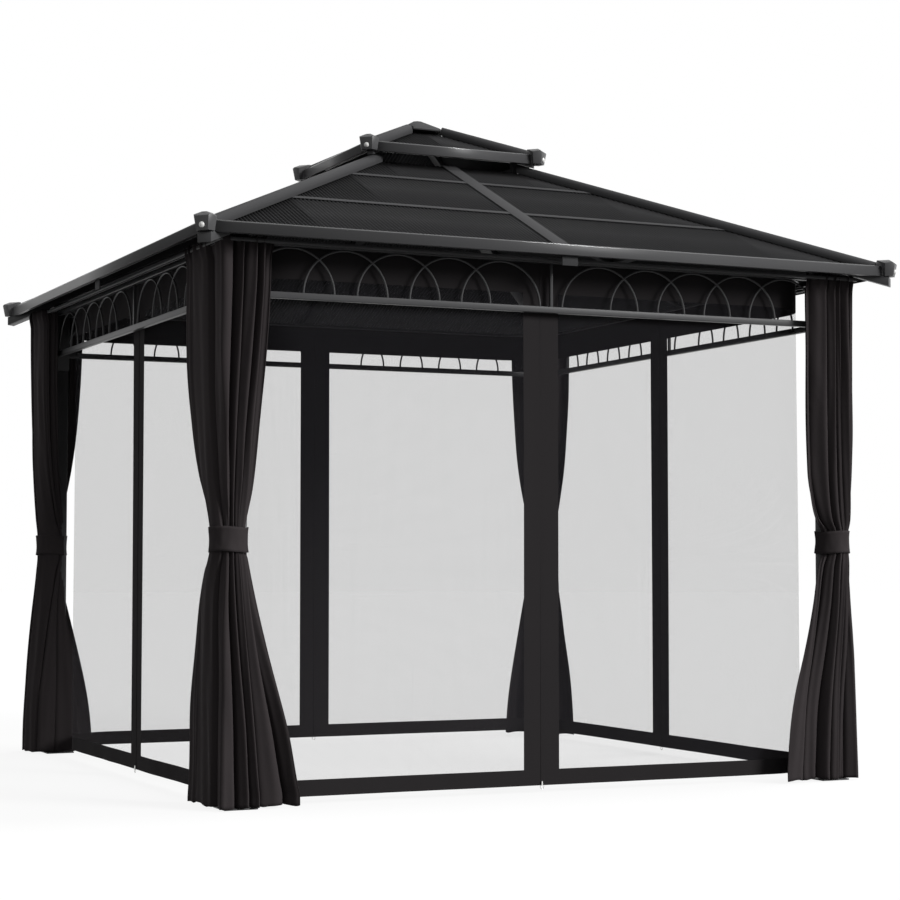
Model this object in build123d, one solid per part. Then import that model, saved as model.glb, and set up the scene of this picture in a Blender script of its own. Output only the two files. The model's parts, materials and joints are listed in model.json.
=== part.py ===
from build123d import *
import os
from math import atan2, cos, degrees, pi, radians, sin, sqrt, tan

os.makedirs("parts", exist_ok=True)

# Driving sizes, in millimetres and degrees
eave_half = 1500.0          # outer face of an eave fascia from the centre
eave_line_height = 2110.0   # roof sheet's top face where it meets the fascia's outer face
roof_pitch = 24.66
seat = 0.3                  # clearance where one piece rests on another
weld_width = 1.0            # overlap of two bars that are welded into one piece

post_outer = 1330.0         # outer faces of the posts from the centre
post_width = 58.0
post_wall = 2.0
foot_size = 130.0
foot_thickness = 6.0
foot_hole_radius = 6.0
foot_hole_inset = 18.0      # a hole's centre from the foot plate's edge

fascia_height = 44.0
fascia_drop = 12.0          # foot of an eave fascia below the eave line
fascia_sheet = 2.0
fascia_lip = 18.0

rafter_width = 56.0         # hip rafter tube
rafter_depth = 36.0
rafter_drop = 16.0          # top of the hip rafter below the hip line
hip_cap_width = 54.0
hip_cap_rise = 32.0         # crest of the round hip cap above the hip line, square to it
hip_cap_sheet = 3.0
cap_reach = 40.0            # corner cap's wings along the fascias
cap_stand = 24.0            # ends of its wings in front of the fascias
cap_face_stand = 18.5       # its bolted face ahead of the corner, along both sides
cap_face_width = 59.4
cap_wing_height = 52.0
cap_height = 70.0
cap_top_width = 20.0        # flat top of its hood
cap_hood_run = 18.5         # run over which the hood's front leans back
cap_face_lean = 0.17        # faces lean out by this share of the height
cap_end_lean = 0.1
cap_nose_height = 67.0      # crest of the nose that takes up the hip cap
cap_nose_stand = 5.0

sheet_thickness = 6.0       # roof sheet
sheet_hip_gap = 10.0        # sheet's edge from the hip line, seen from above
purlin_runs = (1015.0, 592.0)
purlin_flange = 30.0
purlin_flange_thickness = 2.0
purlin_web = 3.0
purlin_box_width = 25.0
purlin_box_depth = 22.0
centre_flange = 70.0
centre_flange_thickness = 3.0
centre_web = 4.0
centre_box_width = 40.0
centre_box_depth = 30.0
tab_width = 68.0
tab_thickness = 5.0
tab_drop = 50.0             # how far the tab hangs below the eave line

crown_half = 340.0          # outer face of the crown frame
crown_tube = 30.0
standoff_tube = 26.0

upper_half = 410.0          # outer face of the upper fascias
upper_lift = 45.4           # upper eave line above the head of the lower roof
upper_pitch = 24.66
upper_fascia_drop = 17.0
upper_rafter_width = 30.0
upper_rafter_depth = 26.0
upper_rafter_drop = 12.0
upper_hub_half = 24.0
upper_cap_head_run = 88.0   # heads of the upper hip caps, under the finial cap
upper_sheet_head = 22.0     # upper sheets' heads from the centre
finial_half = 112.0
finial_corner_cut = 24.0
finial_gap = 21.0           # foot of the finial cap's rim above the upper sheets
finial_rim = 6.0
finial_height = 58.0
finial_top_half = 20.0
finial_notch_gap = 5.0      # its notches round the heads of the hip caps
finial_notch_depth = 10.0   # from a hip cap's head to the end of its notch

frieze_bottom = 1890.5
frieze_top = 2108.0
frieze_rail_height = 25.0
frieze_top_rail_height = 20.0
frieze_rail_depth = 25.0
arch_radius = 172.0
arch_bar = 8.0
arch_pitch = 218.5
arch_first = 221.0
arches_each_half = 5
arch_segments = 12           # straight lengths that make one half round arch
centre_bar = 12.0
end_plate_thickness = 4.0
end_plate_bottom = 1825.0

track_gap = 65.0            # middle of the curtain track in front of the posts
track_width = 20.0
track_depth = 14.0
track_wall = 2.0
track_slot = 8.0            # open slot for the gliders
net_centre = 1292.4         # netting from the centre
net_corner_radius = 260.0
net_track_depth = 12.0
net_thickness = 3.0
net_bottom = 30.0
net_seam_gap = 4.0
net_seams = {"front": -34.0, "right": 56.0, "back": 6.0, "left": 12.0}

curtain_bottom = 8.0
curtain_waist_height = 985.0
curtain_waist_thickness = 46.0
curtain_waist_leg = 94.0
curtain_top_thickness = 72.0
curtain_foot_thickness = 78.0
curtain_legs = {            # along both sides from the corner, first at the track, then at the hem
    "front_left": ((220.0, 410.0), (300.0, 345.0)),
    "front_right": ((230.0, 240.0), (270.0, 360.0)),
    "back_right": ((230.0, 230.0), (270.0, 270.0)),
    "back_left": ((230.0, 230.0), (300.0, 300.0)),
}
curtain_spread_above = ((1220.0, 0.4), (1490.0, 0.72), (1720.0, 0.9))   # height, share of the full leg
curtain_spread_below = ((370.0, 0.82), (600.0, 0.55), (857.0, 0.2))
curtain_clearance = 2.0     # cloth in front of the post's outer faces
curtain_corner_cut = 16.0
curtain_waist_cut = 28.0
tie_height = 85.0
tie_thickness = 3.0

sides = ("front", "right", "back", "left")
corners = ("front_left", "front_right", "back_right", "back_left")

# Values worked out from the driving sizes
rise = tan(radians(roof_pitch))
upper_rise = tan(radians(upper_pitch))
post_centre = post_outer - post_width / 2
big = 3 * eave_half
fascia_bottom = eave_line_height - fascia_drop
track_centre = post_outer + track_gap


def roof_height(run):
    # Top face of the lower roof sheets at a distance from the centre
    return eave_line_height + rise * (eave_half - run)


upper_eave_height = roof_height(crown_half) + upper_lift
upper_fascia_bottom = upper_eave_height - upper_fascia_drop


def upper_roof_height(run):
    return upper_eave_height + upper_rise * (upper_half - run)


def box(x0, x1, y0, y1, z0, z1):
    return Pos((x0 + x1) / 2, (y0 + y1) / 2, (z0 + z1) / 2) * Box(x1 - x0, y1 - y0, z1 - z0)


def prism(points, bottom, top):
    face = make_face(Polyline(*points, close=True))
    return Pos(0, 0, bottom) * extrude(face, amount=top - bottom)


def around(shape, index):
    return Rot(0, 0, 90 * index) * shape


def write(shape, name):
    export_step(shape, f"parts/{name}.step")


def front_wedge(offset, low=0.0, high=4000.0):
    # What lies in front of the centre and at least offset away from both hip lines
    tip = -offset * sqrt(2)
    return prism([(0, tip), (big, tip - big), (-big, tip - big)], low, high)


def slope_plane(half, height, pitch):
    # Front slope: X along the eave, Y up the slope, Z out of the roof
    angle = radians(pitch)
    return Plane(origin=(0, -half, height), x_dir=(1, 0, 0), z_dir=(0, -sin(angle), cos(angle)))


def hip_plane(half, height, pitch):
    # Section across the front left hip: X level across the hip, Y up out of it, Z along it to the corner
    fall = atan2(tan(radians(pitch)), sqrt(2))
    out = (-cos(fall) / sqrt(2), -cos(fall) / sqrt(2), -sin(fall))
    across = (1 / sqrt(2), -1 / sqrt(2), 0)
    return Plane(origin=(-half, -half, height), x_dir=across, z_dir=out)


def hip_bar(outline, half, height, pitch, inner_run, outer_run):
    # A bar along the front left hip, cut upright at both ends, runs counted from the centre
    plane = hip_plane(half, height, pitch)
    bar = plane.location * (Pos(0, 0, -big) * extrude(outline, amount=2 * big))
    across = big
    keep = Rot(0, 0, 45) * box(-outer_run * sqrt(2), -inner_run * sqrt(2), -across, across, 0, 2 * big)
    return bar & keep


def under_roof(plane, lift):
    # What lies below all four slopes, raised by lift
    below = plane.location * (Pos(0, 0, lift - big) * Box(4 * big, 4 * big, 2 * big))
    room = around(below, 0)
    for index in range(1, 4):
        room &= around(below, index)
    return room


def above_rafters(half, height, pitch, depth):
    # What lies above a plane at the underside of the front left hip rafter
    side = Pos(0, big / 2 - depth) * Rectangle(2 * big, big)
    return hip_plane(half, height, pitch).location * (Pos(0, 0, -big) * extrude(side, amount=2 * big))


lower = (eave_half, eave_line_height, roof_pitch)
upper = (upper_half, upper_eave_height, upper_pitch)
slope = slope_plane(*lower)
upper_slope = slope_plane(*upper)


def up_slope(run, half=eave_half, pitch=roof_pitch):
    return (half - run) / cos(radians(pitch))


# Posts: square tubes on welded foot plates, cut on top to the underside of the hip rafters
def make_post():
    centre = -post_centre
    reach = post_width / 2
    tall = roof_height(post_outer - post_width)
    tube = box(centre - reach, centre + reach, centre - reach, centre + reach, 0, tall)
    inner = reach - post_wall
    bore = box(centre - inner, centre + inner, centre - inner, centre + inner, foot_thickness, tall)
    cutter = above_rafters(*lower, rafter_drop + rafter_depth + seat)
    plate = foot_size / 2
    foot = box(centre - plate, centre + plate, centre - plate, centre + plate, 0, foot_thickness)
    post = tube - bore - cutter + foot
    spread = plate - foot_hole_inset
    for dx in (-spread, spread):
        for dy in (-spread, spread):
            post -= Pos(centre + dx, centre + dy, foot_thickness / 2) * Cylinder(
                foot_hole_radius, 2 * foot_thickness)
    return post


post = make_post()
for index, corner in enumerate(corners):
    write(around(post, index), f"post_{corner}")


# Friezes: two rails with overlapping round arches between end plates on the posts
def arch_outline(radius):
    # Half round of straight lengths, from its right foot to its left foot
    turns = [pi * step / arch_segments for step in range(arch_segments + 1)]
    return [(radius * cos(turn), radius * sin(turn)) for turn in turns]


def make_frieze():
    end = post_outer - post_width - seat
    face = -post_outer
    back = face + frieze_rail_depth
    low_top = frieze_bottom + frieze_rail_height
    high_low = frieze_top - frieze_top_rail_height
    frieze = box(-end, end, face, back, frieze_bottom, low_top)
    frieze += box(-end, end, face, back, high_low, frieze_top)
    foot_height = high_low - arch_radius - arch_bar / 2 + weld_width
    leg = foot_height - low_top + weld_width
    outer = arch_radius + arch_bar / 2
    inner = arch_radius - arch_bar / 2
    points = [(outer, -leg)] + arch_outline(outer) + [(-outer, -leg), (-inner, -leg)]
    points += arch_outline(inner)[::-1] + [(inner, -leg)]
    arch = make_face(Polyline(*points, close=True))
    lines = Sketch()
    for side in (-1, 1):
        for step in range(arches_each_half):
            lines += Pos(side * (arch_first + step * arch_pitch), foot_height) * arch
    bar_height = high_low - low_top + 2 * weld_width
    lines += Pos(0, (high_low + low_top) / 2) * Rectangle(centre_bar, bar_height)
    plane = Plane(origin=(0, face + frieze_rail_depth / 2 - arch_bar / 2, 0),
                  x_dir=(1, 0, 0), z_dir=(0, -1, 0))
    frieze += plane.location * (Pos(0, 0, -arch_bar) * extrude(lines, amount=arch_bar))
    for side in (-1, 1):
        x0, x1 = sorted((side * end, side * (end - end_plate_thickness)))
        frieze += box(x0, x1, face, face + post_width, end_plate_bottom, frieze_top)
    return frieze


frieze = make_frieze()
for index, side in enumerate(sides):
    write(around(frieze, index), f"frieze_{side}")


# Eave fascias: folded channels that butt against the corner caps
def make_fascia(half, bottom):
    outline = Pos(fascia_lip / 2, fascia_height / 2) * Rectangle(fascia_lip, fascia_height)
    hollow = fascia_lip - fascia_sheet
    outline -= Pos(fascia_sheet + hollow / 2, fascia_height / 2) * Rectangle(
        hollow, fascia_height - 2 * fascia_sheet)
    plane = Plane(origin=(-half, -half, bottom), x_dir=(0, 1, 0), z_dir=(1, 0, 0))
    channel = plane.location * extrude(outline, amount=2 * half)
    return channel & front_wedge(rafter_width / 2 + seat)


fascia = make_fascia(eave_half, fascia_bottom)
for index, side in enumerate(sides):
    write(around(fascia, index), f"eave_fascia_{side}")


# Hip rafters: tubes that carry the sheets and run from the crown frame to the corners
rafter_outline = Pos(0, -rafter_drop - rafter_depth / 2) * Rectangle(rafter_width, rafter_depth)
hip_rafter = hip_bar(rafter_outline, *lower, crown_half + seat, eave_half)
for index, corner in enumerate(corners):
    write(around(hip_rafter, index), f"hip_rafter_{corner}")


# Hip caps: round topped covers over the joint of two slopes
def hip_cap_outline(width, pitch, sheet=0.0):
    # Half round on upright sides that stand on the roof sheets, hollow where a sheet is given
    hip_fall = atan2(tan(radians(pitch)), sqrt(2))
    side_fall = tan(radians(pitch)) / sqrt(2) * cos(hip_fall)
    spring = hip_cap_rise - hip_cap_width / 2
    foot = seat - side_fall * (width / 2 - sheet)
    upper_side = Pos(0, big / 2) * Rectangle(big, big)
    outline = Pos(0, spring) * (Circle(width / 2) & upper_side)
    outline += Pos(0, (spring + foot) / 2) * Rectangle(width, spring - foot)
    if sheet > 0:
        inner = width - 2 * sheet
        outline -= Pos(0, spring) * (Circle(inner / 2) & upper_side)
        outline -= Pos(0, (spring + foot) / 2 - sheet) * Rectangle(inner, spring - foot + 2 * sheet)
    return outline


cap_length_lost = fascia_lip + hip_cap_width / 2 / sqrt(2) + seat
hip_cap_section = hip_cap_outline(hip_cap_width, roof_pitch, hip_cap_sheet)
hip_cap = hip_bar(hip_cap_section, *lower, crown_half + seat, eave_half - cap_length_lost)
write(Compound(children=[around(hip_cap, index) for index in range(4)]), "hip_caps")


# Corner caps: moulded covers over the ends of the fascias and the hip
def behind(point, facing, lean):
    # What lies behind a plane through a point that faces a way in plan and leans out by a share of its height
    turn = radians(facing)
    plane = Plane(origin=point, x_dir=(-sin(turn), cos(turn), 0), z_dir=(cos(turn), sin(turn), -lean))
    return plane.location * (Pos(0, 0, -big / 2) * Box(2 * big, 2 * big, big))


def make_cap_shell(half, bottom, inner_run):
    # Hood over the ends of the fascias, with a bolted face and two wings that taper to the foot
    face_run = half + cap_face_stand
    spread = cap_face_width / 2 / sqrt(2)
    face_corner = (-face_run - spread, -face_run + spread)
    wing_end = (-half - cap_stand, -half + cap_reach)
    wing_turn = degrees(atan2(wing_end[1] - face_corner[1], wing_end[0] - face_corner[0])) + 90
    level = bottom + cap_wing_height
    top = bottom + cap_height
    hood = top - level
    wing_width = (cap_stand + cap_reach) / sqrt(2)
    shell = box(-half - big, 0, -half - big, 0, bottom, top)
    shell &= behind((-inner_run, -inner_run, level), 45, 0)
    shell &= behind((-face_run, -face_run, level), 225, cap_face_lean)
    shell &= behind((-face_run, -face_run, level), 225, -cap_hood_run * sqrt(2) / hood)
    for mirror, end, end_turn in ((1, wing_end, 90), (-1, wing_end[::-1], 0)):
        shell &= behind((*end, level), 225 + mirror * (wing_turn - 225), cap_face_lean)
        shell &= behind((*end, level), end_turn, cap_end_lean)
        shell &= behind((*end, level), 225 - mirror * 90, -(wing_width - cap_top_width / 2) / hood)
    back = half + seat
    return shell - box(-back, big, -back, big, 0, bottom + fascia_height + seat)


def make_cap_nose(half, height, pitch, bottom, inner_run):
    # Round topped core in line with the hip cap, cut where the sheets lie
    radius = hip_cap_width / 2
    spring = cap_nose_height - radius
    outline = Pos(0, spring) * Circle(radius)
    outline += Pos(0, spring / 2) * Rectangle(hip_cap_width, spring)
    nose_run = half + cap_nose_stand
    plane = Plane(origin=(-nose_run, -nose_run, bottom),
                  x_dir=(-1 / sqrt(2), 1 / sqrt(2), 0), z_dir=(1 / sqrt(2), 1 / sqrt(2), 0))
    nose = plane.location * extrude(outline, amount=(nose_run - inner_run) * sqrt(2))
    inside = half - fascia_lip
    sheet_room = under_roof(slope_plane(half, height, pitch), seat) & box(-inside, 0, -inside, 0, 0, big)
    return nose - sheet_room


def make_corner_cap(half, height, pitch, bottom, rafter):
    inner_run = half - cap_length_lost + seat
    shell = make_cap_shell(half, bottom, inner_run)
    return shell + make_cap_nose(half, height, pitch, bottom, inner_run) - rafter


def rafter_room(width, depth, drop, half, height, pitch):
    outline = Pos(0, -drop - depth / 2) * Rectangle(width + 2 * seat, depth + 2 * seat)
    return hip_bar(outline, half, height, pitch, 0, half + seat)


eave_rafter_room = rafter_room(rafter_width, rafter_depth, rafter_drop, *lower)
eave_cap = make_corner_cap(*lower, fascia_bottom, eave_rafter_room)
write(Compound(children=[around(eave_cap, index) for index in range(4)]), "eave_corner_caps")


# Centre rafters: a box below the sheets, a web between them and a flat strip on top
def make_centre_rafter():
    start = up_slope(eave_half + fascia_lip)
    end = up_slope(crown_half + seat)
    under = -sheet_thickness - seat
    middle = (start + end) / 2
    length = end - start
    strip = Pos(0, middle, seat + centre_flange_thickness / 2) * Box(
        centre_flange, length, centre_flange_thickness)
    web_height = centre_flange_thickness + seat - under + weld_width
    web = Pos(0, middle, under - weld_width + web_height / 2) * Box(centre_web, length, web_height)
    tube = Pos(0, middle, under - centre_box_depth / 2) * Box(centre_box_width, length, centre_box_depth)
    bar = slope.location * (strip + web + tube)
    front = -(eave_half - fascia_lip - seat)
    bar &= box(-big, big, front, -crown_half - seat, 0, 2 * big)
    tab_top = roof_height(eave_half - fascia_lip) - sheet_thickness - centre_box_depth / 2
    tab_bottom = eave_line_height - tab_drop
    tab = box(-tab_width / 2, tab_width / 2, front, front + tab_thickness, tab_bottom, tab_top)
    return bar + tab


centre_rafter = make_centre_rafter()
write(Compound(children=[around(centre_rafter, index) for index in range(4)]), "centre_rafters")


# Purlins: bars across each slope that hold the sheets' edges, in two halves beside the centre rafter
def make_purlins():
    halves = []
    under = -sheet_thickness - seat
    room = front_wedge(rafter_width / 2 + seat)
    for run in purlin_runs:
        up = up_slope(run)
        for side in (-1, 1):
            start = centre_flange / 2 + seat
            flange = Pos(side * (start + run / 2), up, seat + purlin_flange_thickness / 2) * Box(
                run, purlin_flange, purlin_flange_thickness)
            web_height = purlin_flange_thickness + seat - under + weld_width
            web = Pos(side * (start + run / 2), up, under - weld_width + web_height / 2) * Box(
                run, purlin_web, web_height)
            inner = centre_box_width / 2 + seat
            tube = Pos(side * (inner + run / 2), up, under - purlin_box_depth / 2) * Box(
                run, purlin_box_width, purlin_box_depth)
            halves.append((slope.location * (flange + web + tube)) & room)
    return halves


purlins = make_purlins()
for index, side in enumerate(sides):
    write(Compound(children=[around(half, index) for half in purlins]), f"purlins_{side}")


# Roof sheets: three tiers on each side of the centre rafter
def make_sheets():
    edges = [eave_half - fascia_lip - seat]
    for run in purlin_runs:
        edges += [run, run]
    edges.append(crown_half)
    tiers = list(zip(edges[0::2], edges[1::2]))
    room = front_wedge(sheet_hip_gap) & box(-big, big, -big, -crown_half - seat, 0, big)
    sheets = []
    for number, (low_run, high_run) in enumerate(tiers):
        low = up_slope(low_run) + (0 if number == 0 else purlin_web / 2 + seat)
        high = up_slope(high_run) - (0 if number == len(tiers) - 1 else purlin_web / 2 + seat)
        for side in (-1, 1):
            inner = centre_web / 2 + seat
            plate = Pos(side * (inner + low_run / 2), (low + high) / 2, -sheet_thickness / 2) * Box(
                low_run, high - low, sheet_thickness)
            sheets.append((slope.location * plate) & room)
    return sheets


sheets = make_sheets()
for index, side in enumerate(sides):
    write(Compound(children=[around(sheet, index) for sheet in sheets]), f"roof_sheets_{side}")


# Crown frame: a square of tubes at the head of the lower roof with upright standoffs
crown_top = roof_height(crown_half) - rafter_drop
inner_crown = crown_half - crown_tube
crown = box(-crown_half, crown_half, -crown_half, crown_half, crown_top - crown_tube, crown_top)
crown -= box(-inner_crown, inner_crown, -inner_crown, inner_crown, 0, big)
standoff = box(-crown_half, standoff_tube - crown_half, -crown_half, standoff_tube - crown_half,
               crown_top - weld_width, upper_eave_height + standoff_tube)
standoff -= above_rafters(*upper, upper_rafter_drop + upper_rafter_depth + seat)
for index in range(4):
    crown += around(standoff, index)
write(crown, "crown_frame")


# Upper roof: four hip rafters welded to a hub, fascias, sheets, hip caps and corner caps
upper_rafter_outline = Pos(0, -upper_rafter_drop - upper_rafter_depth / 2) * Rectangle(
    upper_rafter_width, upper_rafter_depth)
upper_rafter = hip_bar(upper_rafter_outline, *upper, upper_hub_half + seat, upper_half - fascia_lip - seat)
hub_top = upper_roof_height(upper_hub_half) - upper_rafter_drop
hub = box(-upper_hub_half, upper_hub_half, -upper_hub_half, upper_hub_half,
          hub_top - upper_rafter_depth, hub_top)
write(Compound(children=[hub] + [around(upper_rafter, index) for index in range(4)]), "upper_frame")

upper_fascia = make_fascia(upper_half, upper_fascia_bottom)
write(Compound(children=[around(upper_fascia, index) for index in range(4)]), "upper_fascias")

upper_cap_section = hip_cap_outline(hip_cap_width, upper_pitch, hip_cap_sheet)
upper_hip_cap = hip_bar(upper_cap_section, *upper, upper_cap_head_run, upper_half - cap_length_lost)
write(Compound(children=[around(upper_hip_cap, index) for index in range(4)]), "upper_hip_caps")

upper_rafter_room = rafter_room(upper_rafter_width, upper_rafter_depth, upper_rafter_drop, *upper)
upper_corner_cap = make_corner_cap(*upper, upper_fascia_bottom, upper_rafter_room)
write(Compound(children=[around(upper_corner_cap, index) for index in range(4)]), "upper_corner_caps")

upper_low = up_slope(upper_half - fascia_lip - seat, upper_half, upper_pitch)
upper_high = up_slope(upper_sheet_head + seat, upper_half, upper_pitch)
upper_sheet = Pos(0, (upper_low + upper_high) / 2, -sheet_thickness / 2) * Box(
    2 * upper_half, upper_high - upper_low, sheet_thickness)
upper_sheet = (upper_slope.location * upper_sheet) & front_wedge(sheet_hip_gap)
write(Compound(children=[around(upper_sheet, index) for index in range(4)]), "upper_sheets")


# Finial: a low folded cap with cut corners over the heads of the upper hip caps
def make_finial():
    cut = finial_half - finial_corner_cut
    foot = upper_roof_height(finial_half) + finial_gap
    quarter = [(cut, -finial_half), (finial_half, -cut)]
    points = [(x * cos(turn) - y * sin(turn), x * sin(turn) + y * cos(turn))
              for turn in (0, pi / 2, pi, 3 * pi / 2) for x, y in quarter]
    top = foot + finial_height
    fold = foot + finial_rim
    cap = prism(points, foot, top)
    pitch = degrees(atan2(top - fold, finial_half - finial_top_half))
    cap &= under_roof(slope_plane(finial_half, fold, pitch), 0)
    corner_half = (finial_half + cut) / sqrt(2)
    corner_pitch = degrees(atan2(top - fold, corner_half - finial_top_half))
    cap &= Rot(0, 0, 45) * under_roof(slope_plane(corner_half, fold, corner_pitch), 0)
    cap -= under_roof(upper_slope, seat)
    head = hip_bar(hip_cap_outline(hip_cap_width + 2 * finial_notch_gap, upper_pitch), *upper,
                   upper_cap_head_run - finial_notch_depth, upper_half)
    for index in range(4):
        cap -= around(head, index)
    return cap


write(make_finial(), "finial_cap")


# Curtain track: four slotted channels under the hip rafters
rafter_under = (rafter_drop + rafter_depth) / cos(atan2(rise, sqrt(2)))
track_top = roof_height(track_centre + track_width / 2) - rafter_under - seat
bore_width = track_width - 2 * track_wall
bore_depth = track_depth - 2 * track_wall
channel = Rectangle(track_width, track_depth) - Rectangle(bore_width, bore_depth)
channel -= Pos(0, -track_depth / 2) * Rectangle(track_slot, track_depth / 2)
rail_middle = track_top - track_depth / 2
rail_plane = Plane(origin=(-big, -track_centre, rail_middle), x_dir=(0, 1, 0), z_dir=(1, 0, 0))
rail = (rail_plane.location * extrude(channel, amount=2 * big)) & front_wedge(seat)
write(Compound(children=[around(rail, index) for index in range(4)]), "curtain_track")


# Netting track: a strip with round corners on the inner faces of the friezes
def ring(outer_half, inner_half, corner_radius, bottom, top):
    # A square ring with round corners, corner_radius counted at the middle of its width
    half_width = (outer_half - inner_half) / 2
    outline = RectangleRounded(2 * outer_half, 2 * outer_half, corner_radius + half_width)
    outline -= RectangleRounded(2 * inner_half, 2 * inner_half, corner_radius - half_width)
    return Pos(0, 0, bottom) * extrude(outline, amount=top - bottom)


net_track_outer = post_outer - frieze_rail_depth - seat
net_track_inner = 2 * net_centre - net_track_outer
net_track_bottom = frieze_top - net_track_depth
net_track_loop = ring(net_track_outer, net_track_inner, net_corner_radius, net_track_bottom, frieze_top)
straight = net_centre - net_corner_radius
inside_corner = straight + seat
net_track_bend = net_track_loop & box(-big, -inside_corner, -big, -inside_corner, 0, big)
net_track_rail = net_track_loop & box(-straight, straight, -big, -straight, 0, big)
net_track = [around(net_track_rail, index) for index in range(4)]
net_track += [around(net_track_bend, index) for index in range(4)]
write(Compound(children=net_track), "net_track")


# Netting: four pieces round the corners, each from one side's zip to the next side's
net_loop = ring(net_centre + net_thickness / 2, net_centre - net_thickness / 2, net_corner_radius,
                net_bottom, net_track_bottom - seat)
net_gap = net_seam_gap / 2
net_rooms = {
    "front_left": (-big, net_seams["front"] - net_gap, -big, net_seams["left"] - net_gap),
    "front_right": (net_seams["front"] + net_gap, big, -big, net_seams["right"] - net_gap),
    "back_right": (net_seams["back"] + net_gap, big, net_seams["right"] + net_gap, big),
    "back_left": (-big, net_seams["back"] - net_gap, net_seams["left"] + net_gap, big),
}
for corner in corners:
    x0, x1, y0, y1 = net_rooms[corner]
    write(net_loop & box(x0, x1, y0, y1, 0, big), f"net_{corner}")


# Curtains: gathered round the outer corner of each post, narrow at the tie
def curtain_outline(thickness, cut, front_leg, side_leg):
    inner = post_outer + curtain_clearance
    out = inner + thickness
    return [(-inner, -out + side_leg), (-out, -out + side_leg), (-out, -out + cut),
            (-out + cut, -out), (-out + front_leg, -out), (-out + front_leg, -inner),
            (-inner, -inner)]


def stack(sections):
    # A closed solid of flat faces through outlines with the same number of points, from the lowest up
    rings = [[(x, y, height) for x, y in points] for height, points in sections]
    faces = [rings[0][::-1], rings[-1]]
    for low, high in zip(rings, rings[1:]):
        for index in range(len(low)):
            after = (index + 1) % len(low)
            faces.append([low[index], low[after], high[after], high[index]])
    return Solid(Shell([Face(Wire.make_polygon(points)) for points in faces]))


def make_curtain(top_legs, foot_legs):
    outer_run = post_outer + curtain_clearance + curtain_top_thickness
    top = min(track_top - track_depth, roof_height(outer_run) - rafter_under) - seat
    low_waist = curtain_waist_height - tie_height / 2
    high_waist = curtain_waist_height + tie_height / 2

    def section(height, thickness, legs, share):
        spread = [curtain_waist_leg + share * (leg - curtain_waist_leg) for leg in legs]
        bulk = curtain_waist_thickness + share * (thickness - curtain_waist_thickness)
        cut = curtain_waist_cut + share * (curtain_corner_cut - curtain_waist_cut)
        return height, curtain_outline(bulk, cut, *spread)

    sections = [section(curtain_bottom, curtain_foot_thickness, foot_legs, 1)]
    for height, share in curtain_spread_below:
        sections.append(section(height, curtain_foot_thickness, foot_legs, share))
    sections.append(section(low_waist, curtain_foot_thickness, foot_legs, 0))
    sections.append(section(high_waist, curtain_top_thickness, top_legs, 0))
    for height, share in curtain_spread_above:
        sections.append(section(height, curtain_top_thickness, top_legs, share))
    sections.append(section(top, curtain_top_thickness, top_legs, 1))
    return stack(sections)


for index, corner in enumerate(corners):
    write(around(make_curtain(*curtain_legs[corner]), index), f"curtain_{corner}")


# Curtain ties: flat straps round the curtain and its post
def make_tie():
    outer = post_outer + curtain_clearance + curtain_waist_thickness + seat
    inner = post_outer - post_width - seat
    low = curtain_waist_height - tie_height / 2
    solid = []
    for grow in (tie_thickness, 0):
        far, near, cut = outer + grow, inner - grow, curtain_waist_cut + grow * (2 - sqrt(2))
        solid.append(prism([(-near, -near), (-far, -near), (-far, -far + cut), (-far + cut, -far),
                            (-near, -far)], low, low + tie_height))
    return solid[0] - solid[1]


tie = make_tie()
write(Compound(children=[around(tie, index) for index in range(4)]), "curtain_ties")
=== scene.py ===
import json
import math

import bmesh
import bpy
from mathutils import Matrix, Vector, noise


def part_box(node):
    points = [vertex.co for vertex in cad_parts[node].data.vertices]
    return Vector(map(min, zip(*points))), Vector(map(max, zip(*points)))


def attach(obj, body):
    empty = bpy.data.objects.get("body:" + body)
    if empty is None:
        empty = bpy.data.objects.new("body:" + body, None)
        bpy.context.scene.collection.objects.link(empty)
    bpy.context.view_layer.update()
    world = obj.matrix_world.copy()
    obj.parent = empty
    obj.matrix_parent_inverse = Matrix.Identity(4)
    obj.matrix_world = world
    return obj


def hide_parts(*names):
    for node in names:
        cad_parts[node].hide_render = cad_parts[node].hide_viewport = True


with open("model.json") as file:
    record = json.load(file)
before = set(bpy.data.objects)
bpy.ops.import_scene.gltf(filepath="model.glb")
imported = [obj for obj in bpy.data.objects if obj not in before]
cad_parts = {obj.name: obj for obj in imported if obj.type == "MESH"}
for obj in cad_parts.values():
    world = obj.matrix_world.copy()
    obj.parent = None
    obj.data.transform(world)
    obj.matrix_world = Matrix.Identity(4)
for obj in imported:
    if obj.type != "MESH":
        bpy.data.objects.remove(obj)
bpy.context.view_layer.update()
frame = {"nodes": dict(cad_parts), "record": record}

mm = 0.001
quarterTurns = [Matrix.Rotation(math.radians(90 * i), 4, "Z") for i in range(4)]
sideNames = ["front", "right", "back", "left"]
cornerNames = ["front_left", "front_right", "back_right", "back_left"]
print("frame loaded,", len(frame["nodes"]), "nodes")


# Helpers
def linear(hexColour):
    parts = [int(hexColour[i:i + 2], 16) / 255 for i in (1, 3, 5)]
    return [c / 12.92 if c <= 0.04045 else ((c + 0.055) / 1.055) ** 2.4 for c in parts] + [1.0]


def smooth(low, high, value):
    t = min(1.0, max(0.0, (value - low) / (high - low)))
    return t * t * (3 - 2 * t)


def mix(a, b, t):
    return a + (b - a) * t


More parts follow.
